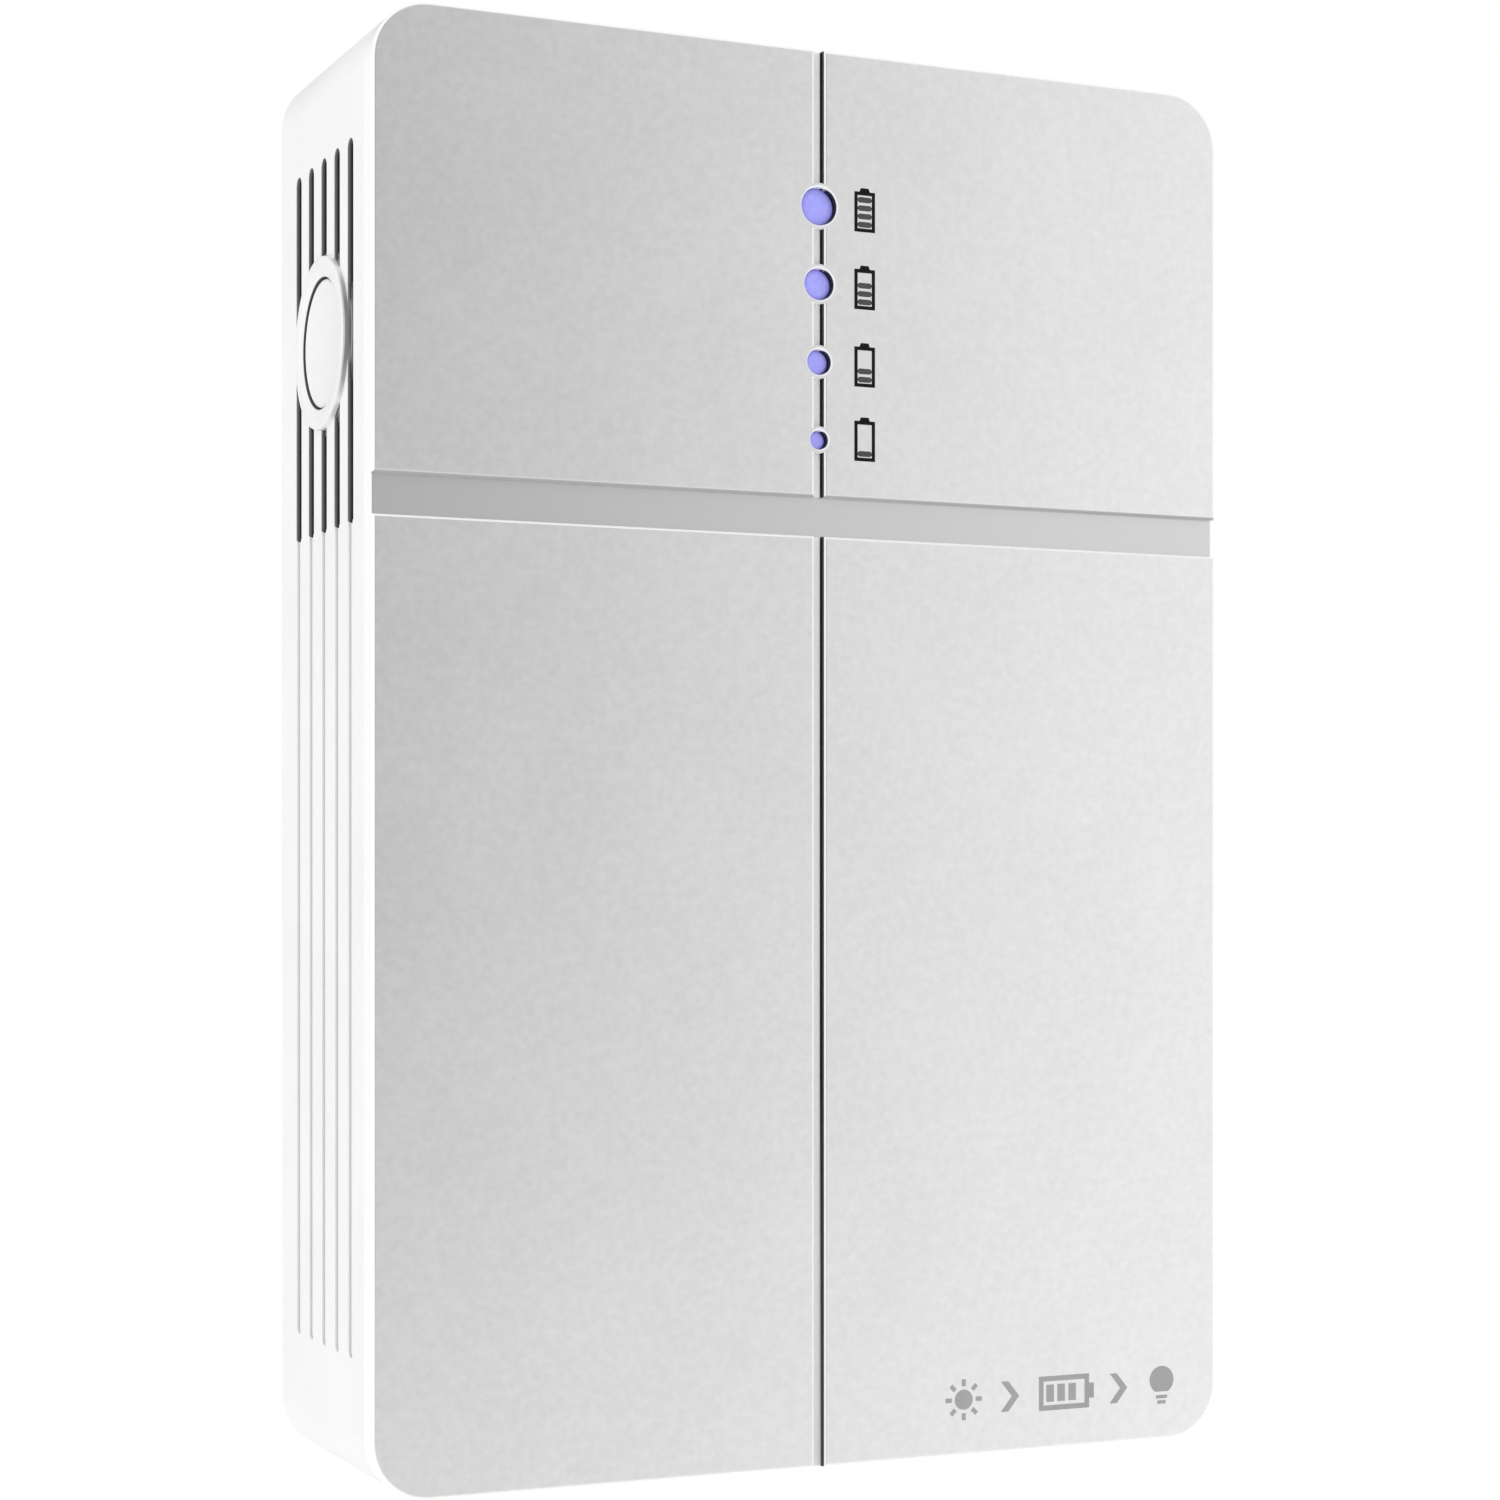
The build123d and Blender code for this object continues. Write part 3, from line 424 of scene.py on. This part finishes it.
BAND_TOP, BAND_BOTTOM = 36.9 * MM, 31.4 * MM
ABOVE_BAND = (BAND_TOP, BAND_TOP + 0.2 * MM)
BELOW_BAND = (BAND_BOTTOM, BAND_BOTTOM - 0.2 * MM)
CHANNEL_REACH = (1.0 * MM, 0.9 * MM)


def channel_floor_share(tree, at, normal):
    """1 on the floor of the upright channel, above and below the band."""
    above = gate(tree, at["Z"], *ABOVE_BAND)
    below = gate(tree, at["Z"], *BELOW_BAND)
    return product(
        tree,
        band_share(tree, at, normal),
        gate(tree, size_of(tree, at["X"]), *CHANNEL_REACH),
        math_node(tree, "ADD", above, below),
    )


WINDOWS_REACH = (3.1 * MM, 3.0 * MM)
SHADE_DEPTH = (0.15 * MM, 0.22 * MM)
LEFT_FACING = (-0.3, -0.5)


def shade_wall_share(tree, at, normal):
    """1 on the walls of the channel and window holes that face left, which lie in shade."""
    return product(
        tree,
        gate(tree, size_of(tree, at["X"]), *WINDOWS_REACH),
        gate(tree, depth_of(tree, at), *SHADE_DEPTH),
        gate(tree, normal["X"], *LEFT_FACING),
    )


CHANNEL_HALF = 0.7 * MM
STRIP_REACH = (CHANNEL_HALF - 0.22 * MM, CHANNEL_HALF - 0.14 * MM)
STRIP_FADE = (-115 * MM, -45 * MM)


def shade_strip_share(tree, at, normal):
    """1 on the strip of the channel's floor at the foot of its shaded wall, where a painted shadow goes;
    less near the base.
    """
    return product(
        tree,
        gate(tree, at["X"], *STRIP_REACH),
        gate(tree, at["Z"], *STRIP_FADE),
        channel_floor_share(tree, at, normal),
    )


BAND_EDGE_REACH = (0.7 * MM, 0.6 * MM)
DOWN_FACING = (-0.15, -0.45)


def band_edge_shade_share(tree, at, normal):
    """1 on the upper edge of the band, which faces down and gets painted shade."""
    from_edge = size_of(tree, math_node(tree, "SUBTRACT", at["Z"], BAND_TOP))
    return product(
        tree,
        gate(tree, from_edge, *BAND_EDGE_REACH),
        gate(tree, normal["Z"], *DOWN_FACING),
    )


SIDE_REACH, TOP_REACH = cad_high.x, cad_high.z
CORNER = 8.0 * MM
INSIDE_REACH = (CORNER - 0.6 * MM, CORNER - 0.9 * MM)
OFF_BACK = (-0.6 * MM, -0.9 * MM)


def inside_shade_share(tree, at, normal):
    """1 inside the housing and in the depth of its slots, where a dark grey of painted shade goes; 0 on its
    outer faces and shallow flutes.
    """
    beyond = []
    for name, straight in (("X", SIDE_REACH - CORNER), ("Z", TOP_REACH - CORNER)):
        past = math_node(tree, "SUBTRACT", size_of(tree, at[name]), straight)
        beyond.append(math_node(tree, "MAXIMUM", past, 0.0))
    squares = [math_node(tree, "MULTIPLY", past, past) for past in beyond]
    reach = math_node(tree, "SQRT", math_node(tree, "ADD", *squares))
    return product(tree, gate(tree, reach, *INSIDE_REACH), gate(tree, at["Y"], *OFF_BACK))


VENT_TOP, VENT_BOTTOM = 83.3 * MM, 31.5 * MM
FLUTE_TOP, FLUTE_BOTTOM = 31.0 * MM, -82.0 * MM
SLOTS_FRONT, SLOTS_BACK = -37.4 * MM, -8.1 * MM
SLOT_END = 0.3 * MM
SLOT_WALL_FACING = (0.8, 0.6)
VENT_DEPTH = (0.05 * MM, 0.8 * MM)
FLUTE_DEPTH = (0.05 * MM, 0.35 * MM)


def side_slot_shade_share(tree, at, normal, bottom, top, depths):
    """Rises from 0 to 1 down the walls of the side slots that lie between two heights: how much painted
    shade goes there.
    """
    depth = math_node(tree, "SUBTRACT", SIDE_REACH, size_of(tree, at["X"]))
    return product(
        tree,
        gate(tree, depth, *depths),
        gate(tree, at["Z"], bottom - SLOT_END, bottom),
        gate(tree, at["Z"], top + SLOT_END, top),
        gate(tree, at["Y"], SLOTS_BACK + SLOT_END, SLOTS_BACK),
        gate(tree, at["Y"], SLOTS_FRONT - SLOT_END, SLOTS_FRONT),
        gate(tree, size_of(tree, normal["X"]), *SLOT_WALL_FACING),
    )


def vent_shade_share(tree, at, normal):
    """Painted shade that rises from 0 to 1 down the walls of the vents."""
    return side_slot_shade_share(tree, at, normal, VENT_BOTTOM, VENT_TOP, VENT_DEPTH)


def flute_shade_share(tree, at, normal):
    """Painted shade that rises from 0 to 1 down the walls of the shallow flutes below the vents."""
    return side_slot_shade_share(tree, at, normal, FLUTE_BOTTOM, FLUTE_TOP, FLUTE_DEPTH)


RING_LOW, RING_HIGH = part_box("button_ring")
BUTTON_CENTRE = (RING_LOW + RING_HIGH) / 2
RING_RADIUS = (RING_HIGH.z - RING_LOW.z) / 2
RING_BORE = RING_RADIUS - 2.9 * MM
BORE_WALL_REACH = (RING_BORE + 0.12 * MM, RING_BORE + 0.03 * MM)


def from_button_axis(tree, at):
    """Distance from the button's axis, which runs along X."""
    return distance(tree, at, BUTTON_CENTRE, "YZ")


def ring_bore_share(tree, at, normal):
    """1 on the wall of the button ring's bore, which lies in shade."""
    return gate(tree, from_button_axis(tree, at), *BORE_WALL_REACH)


RING_WALL_REACH = (RING_RADIUS - 0.2 * MM, RING_RADIUS - 0.1 * MM)
RING_WALL_FACING = (0.5, 0.3)
FRONT_FACING = (-0.65, -0.85)


def ring_wall_shade_share(tree, at, normal):
    """1 on the part of the ring's outer wall that stands beside the foremost vent, which gets painted shade.
    """
    return product(
        tree,
        gate(tree, from_button_axis(tree, at), *RING_WALL_REACH),
        gate(tree, size_of(tree, normal["X"]), *RING_WALL_FACING),
        gate(tree, normal["Y"], *FRONT_FACING),
    )


BOSS_RADIUS = RING_RADIUS + 0.8 * MM
BOSS_FROM = (RING_RADIUS - 0.1 * MM, RING_RADIUS)
BOSS_TO = (BOSS_RADIUS + 0.1 * MM, BOSS_RADIUS)
BOSS_DEPTH = (0.3 * MM, 0.4 * MM)


def boss_shade_share(tree, at, normal):
    """1 on the boss round the ring, where it closes the vents and gets painted shade from the ring."""
    away = from_button_axis(tree, at)
    return product(
        tree,
        gate(tree, away, *BOSS_FROM),
        gate(tree, away, *BOSS_TO),
        gate(tree, math_node(tree, "ADD", at["X"], SIDE_REACH), *BOSS_DEPTH),
    )


CAP_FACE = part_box("button_cap")[0].x
SKIRT_FACING = (0.4, 0.2)
SKIRT_REACH = (CAP_FACE + 0.4 * MM, CAP_FACE + 0.55 * MM)


def cap_skirt_share(tree, at, normal):
    """1 on the side of the button cap, in the ring's shade."""
    return product(
        tree,
        gate(tree, size_of(tree, normal["X"]), *SKIRT_FACING),
        gate(tree, at["X"], *SKIRT_REACH),
    )


BAND_GREY = grey(0.68)
RIM_WHITE = grey(0.94)
CHANNEL_WHITE = grey(0.90)
CHANNEL_SHADE = grey(0.006)
BAND_EDGE_SHADE = grey(0.40)
PEARL_METALLIC = 0.85
INSIDE_SHADE = grey(0.05)
VENT_SHADE = grey(0.012)
FLUTE_SHADE = grey(0.58)
GAP_SHADE = grey(0.045)
RING_WALL_SHADE = grey(0.36)
BOSS_SHADE = grey(0.16)


def paint_front(made):
    """Pearl paint on what faces forward, white at the rims, grey in the band; painted shade on the channel's
    walls and floor strip and on the band's upper edge.
    """
    tree = made.node_tree
    shader = tree.nodes["Principled BSDF"]
    recolour(made, band_share, BAND_GREY)
    recolour(made, rim_share, RIM_WHITE)
    recolour(made, channel_floor_share, CHANNEL_WHITE)
    recolour(made, shade_wall_share, CHANNEL_SHADE)
    recolour(made, shade_strip_share, CHANNEL_SHADE)
    recolour(made, band_edge_shade_share, BAND_EDGE_SHADE)
    at, normal = surface(tree)
    forward = forward_share(tree, at, normal)
    pearl = math_node(tree, "SUBTRACT", forward, channel_floor_share(tree, at, normal))
    metal = math_node(tree, "MULTIPLY", pearl, PEARL_METALLIC)
    tree.links.new(metal, shader.inputs["Metallic"])


paint_front(MATERIALS["front_pearl"])
recolour(MATERIALS["case_white"], inside_shade_share, INSIDE_SHADE)
recolour(MATERIALS["case_white"], vent_shade_share, VENT_SHADE)
recolour(MATERIALS["case_white"], flute_shade_share, FLUTE_SHADE)
recolour(MATERIALS["case_white"], boss_shade_share, BOSS_SHADE)
recolour(MATERIALS["ring_white"], ring_wall_shade_share, RING_WALL_SHADE)
recolour(MATERIALS["ring_white"], ring_bore_share, GAP_SHADE)
recolour(MATERIALS["cap_white"], cap_skirt_share, GAP_SHADE)
NODE_LOOKS = {"button_ring": "ring_white"}

# Windows 1 to 4, from the top. Each is darker towards its edge.
WINDOW_RADII = [radius * MM for radius in (2.7, 2.25, 1.8, 1.35)]
LENS_EDGE_FROM = 0.62
LENS_EDGE_SHARE = 0.75
LENS_EDGE = (0.13, 0.11, 0.36, 1.0)


def window_edge(number):
    """Makes the share of one window's edge colour, which starts at part of its radius and grows outwards."""
    low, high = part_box(f"light_pipe_{number}")
    centre, radius = (low + high) / 2, WINDOW_RADII[number - 1]

    def share(tree, at, normal):
        reach = distance(tree, at, centre, "XZ")
        edge = gate(tree, reach, LENS_EDGE_FROM * radius, radius)
        return math_node(tree, "MULTIPLY", edge, LENS_EDGE_SHARE)

    return share


for number in (1, 2, 3, 4):
    look = f"lens_violet_{number}"
    MATERIALS[look] = material(look + "_surface", **LOOKS["lens_violet"])
    recolour(MATERIALS[look], window_edge(number), LENS_EDGE)
    NODE_LOOKS[f"light_pipe_{number}"] = look

for part in frame["record"]["subparts"]:
    node = NODES[part["node"]]
    for place in node.material_slots:
        place.material = MATERIALS[NODE_LOOKS.get(part["node"], part["material_slot"])]


# ---------------------------------------------------------------- new pieces
def new_object(name, form, made):
    """Turns a bmesh into a linked object of one material, and frees the bmesh."""
    mesh = bpy.data.meshes.new(name)
    form.to_mesh(mesh)
    form.free()
    mesh.materials.append(made)
    obj = bpy.data.objects.new(name, mesh)
    bpy.context.scene.collection.objects.link(obj)
    return obj


# ---------------------------------------------------------------- printed marks, in mm
INK_PROUD = 0.03
INK_SUNK = 0.05


def circle(x, z, radius, count=48, start=0.0, end=2 * math.pi):
    """Points round a circle or along an arc of it."""
    closed = abs(end - start - 2 * math.pi) < 1e-6
    steps = count if closed else count - 1
    angles = [start + (end - start) * i / steps for i in range(count)]
    return [(x + radius * math.cos(a), z + radius * math.sin(a)) for a in angles]


def bar(x, z, width, height):
    """A rectangle by its centre."""
    w, h = width / 2, height / 2
    return [(x - w, z - h), (x + w, z - h), (x + w, z + h), (x - w, z + h)]


def lozenge(x, z, width, height, ease=0.24):
    """A bar with cut corners."""
    w, h = width / 2, height / 2
    return [
        (x - w, z - h + ease),
        (x - w + ease, z - h),
        (x + w - ease, z - h),
        (x + w, z - h + ease),
        (x + w, z + h - ease),
        (x + w - ease, z + h),
        (x - w + ease, z + h),
        (x - w, z + h - ease),
    ]


def printed(name, shapes, look):
    """A film of ink on the front.

    Each shape is an outline, or an outline and a hole of as many points.
    """
    near, far = FRONT - INK_PROUD * MM, FRONT + INK_SUNK * MM
    form = bmesh.new()
    for shape in shapes:
        outline, hole = shape if isinstance(shape, tuple) else (shape, None)
        front = [form.verts.new((x * MM, near, z * MM)) for x, z in outline]
        back = [form.verts.new((x * MM, far, z * MM)) for x, z in outline]
        count = len(outline)
        for i in range(count):
            j = (i + 1) % count
            form.faces.new((front[i], back[i], back[j], front[j]))
        if not hole:
            form.faces.new(front)
            form.faces.new(back)
            continue
        inner_front = [form.verts.new((x * MM, near, z * MM)) for x, z in hole]
        inner_back = [form.verts.new((x * MM, far, z * MM)) for x, z in hole]
        for i in range(count):
            j = (i + 1) % count
            form.faces.new((front[i], front[j], inner_front[j], inner_front[i]))
            form.faces.new((back[i], back[j], inner_back[j], inner_back[i]))
            form.faces.new((inner_front[i], inner_front[j], inner_back[j], inner_back[i]))
    bmesh.ops.recalc_face_normals(form, faces=form.faces)
    obj = new_object(name, form, MATERIALS[look])
    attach(obj, "case")


def window_height(number):
    """The height of a window's centre, in mm."""
    low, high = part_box(f"light_pipe_{number}")
    return (low.z + high.z) / 2 / MM


ICON_X = 7.1
ICON_WIDTH = 3.25
ICON_TOP, ICON_BOTTOM = 2.6, -3.1
ICON_LINE = 0.50
ICON_LIFTS = (0.0, 0.0, 0.0, 0.45)
NUB_FOOT_HALF, NUB_TOP_HALF = 0.82, 0.60
NUB_SUNK, NUB_HEIGHT = 0.05, 0.52
CELL_STEP, FIRST_CELL = 1.17, 1.04
CELL_WIDTH, CELL_HEIGHT = 2.2, 0.78


def battery_icon(number, cells, lift):
    """An upright battery outline with a nub and one bar for each quarter of charge."""
    z = window_height(number) + lift
    middle = z + (ICON_TOP + ICON_BOTTOM) / 2
    height = ICON_TOP - ICON_BOTTOM
    outer = bar(ICON_X, middle, ICON_WIDTH, height)
    inner = bar(ICON_X, middle, ICON_WIDTH - 2 * ICON_LINE, height - 2 * ICON_LINE)
    top = z + ICON_TOP
    nub = [
        (ICON_X - NUB_FOOT_HALF, top - NUB_SUNK),
        (ICON_X + NUB_FOOT_HALF, top - NUB_SUNK),
        (ICON_X + NUB_TOP_HALF, top + NUB_HEIGHT),
        (ICON_X - NUB_TOP_HALF, top + NUB_HEIGHT),
    ]
    printed(f"battery_outline_{number}", [(outer, inner), nub], "print_dark")
    bars = [
        lozenge(ICON_X, z + ICON_BOTTOM + FIRST_CELL + CELL_STEP * i, CELL_WIDTH, CELL_HEIGHT)
        for i in range(cells)
    ]
    printed(f"battery_bars_{number}", bars, "print_charcoal")


for window, lift in enumerate(ICON_LIFTS, start=1):
    battery_icon(window, 5 - window, lift)

# A row of grey symbols at the foot of the front: sun, arrow, battery, arrow, lamp
ROW_Z = -92.0
SUN_RADIUS = 1.45
RAY_COUNT, RAY_FROM, RAY_TO, RAY_HALF = 8, 1.95, 2.95, 0.32


def sun(x, z):
    """A disc with rays round it."""
    rays = []
    for i in range(RAY_COUNT):
        a = 2 * math.pi / RAY_COUNT * i
        along = (math.cos(a), math.sin(a))
        across = (-RAY_HALF * math.sin(a), RAY_HALF * math.cos(a))
        near = (x + RAY_FROM * along[0], z + RAY_FROM * along[1])
        far = (x + RAY_TO * along[0], z + RAY_TO * along[1])
        rays.append(
            [
                (near[0] - across[0], near[1] - across[1]),
                (far[0] - across[0], far[1] - across[1]),
                (far[0] + across[0], far[1] + across[1]),
                (near[0] + across[0], near[1] + across[1]),
            ]
        )
    return [circle(x, z, SUN_RADIUS), *rays]


def arrow(x, z):
    """An arrowhead that points right."""
    return [
        [
            (x - 1.5, z + 2.2),
            (x - 0.3, z + 2.2),
            (x + 1.5, z),
            (x - 0.3, z - 2.2),
            (x - 1.5, z - 2.2),
            (x + 0.3, z),
        ]
    ]


def lying_battery(x, z):
    """A battery outline on its side, with a nub and three bars."""
    shapes = [(bar(x, z, 8.4, 5.0), bar(x, z, 6.9, 3.5)), bar(x + 4.6, z, 0.8, 2.2)]
    return shapes + [bar(x - 2.35 + 1.85 * i, z, 1.25, 2.5) for i in range(3)]


def lamp(x, z):
    """A bulb over two lines for its cap."""
    glass = circle(x, z + 0.75, 2.05, count=40, start=math.radians(-58), end=math.radians(238))
    return [glass, bar(x, z - 1.75, 1.9, 0.5), bar(x, z - 2.55, 1.4, 0.5)]


printed(
    "symbol_row",
    [
        *sun(23.0, ROW_Z),
        *arrow(30.6, ROW_Z),
        *lying_battery(39.6, ROW_Z),
        *arrow(48.8, ROW_Z),
        *lamp(56.2, ROW_Z),
    ],
    "print_grey",
)

# ---------------------------------------------------------------- return coil of the switch
COIL_WIRE = 0.15 * MM
COIL_TURNS = 3.5
COIL_STEPS, COIL_SIDES = 32, 12


def return_coil():
    """The coil behind the plunger. COIL_WIRE is its wire's radius."""
    low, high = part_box("switch_spring")
    centre = (low + high) / 2
    reach = (high.z - low.z) / 2 - COIL_WIRE
    start, run = low.x + COIL_WIRE, high.x - low.x - 2 * COIL_WIRE
    steps = round(COIL_TURNS * COIL_STEPS)
    around = 2 * math.pi * COIL_TURNS * reach
    sides = [2 * math.pi * side / COIL_SIDES for side in range(COIL_SIDES)]
    form = bmesh.new()
    rings = []
    for step in range(steps + 1):
        angle = 2 * math.pi * COIL_TURNS * step / steps
        outward = Vector((0, math.cos(angle), math.sin(angle)))
        spot = Vector((start + run * step / steps, centre.y, centre.z)) + reach * outward
        along = Vector((run, -around * math.sin(angle), around * math.cos(angle))).normalized()
        across = along.cross(outward)
        spokes = [math.cos(t) * outward + math.sin(t) * across for t in sides]
        rings.append([form.verts.new(spot + COIL_WIRE * spoke) for spoke in spokes])
    for ring, following in zip(rings, rings[1:]):
        for side in range(COIL_SIDES):
            other = (side + 1) % COIL_SIDES
            face = form.faces.new((ring[side], ring[other], following[other], following[side]))
            face.smooth = True
    form.faces.new(rings[0])
    form.faces.new(rings[-1])
    bmesh.ops.recalc_face_normals(form, faces=form.faces)
    coil = new_object("return_coil", form, MATERIALS["spring_steel"])
    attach(coil, "case")
    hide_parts("switch_spring")
    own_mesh(coil)


return_coil()

# ---------------------------------------------------------------- floor
FLOOR_REACH = 6.0
FLOOR_GLOW = 0.55


def floor():
    """A plain pale floor at the unit's base, which reflections leave out."""
    form = bmesh.new()
    corners = [(-1, -1), (1, -1), (1, 1), (-1, 1)]
    form.faces.new([form.verts.new((x * FLOOR_REACH, y * FLOOR_REACH, BASE)) for x, y in corners])
    glow = (grey(1.0), FLOOR_GLOW)
    look = dict(dark=grey(0.56), light=grey(0.58), rough=(0.7, 0.8), patch=400, grain=3, bump=0, glow=glow)
    obj = new_object("floor", form, material("floor_surface", **look))
    obj.visible_glossy = False


floor()
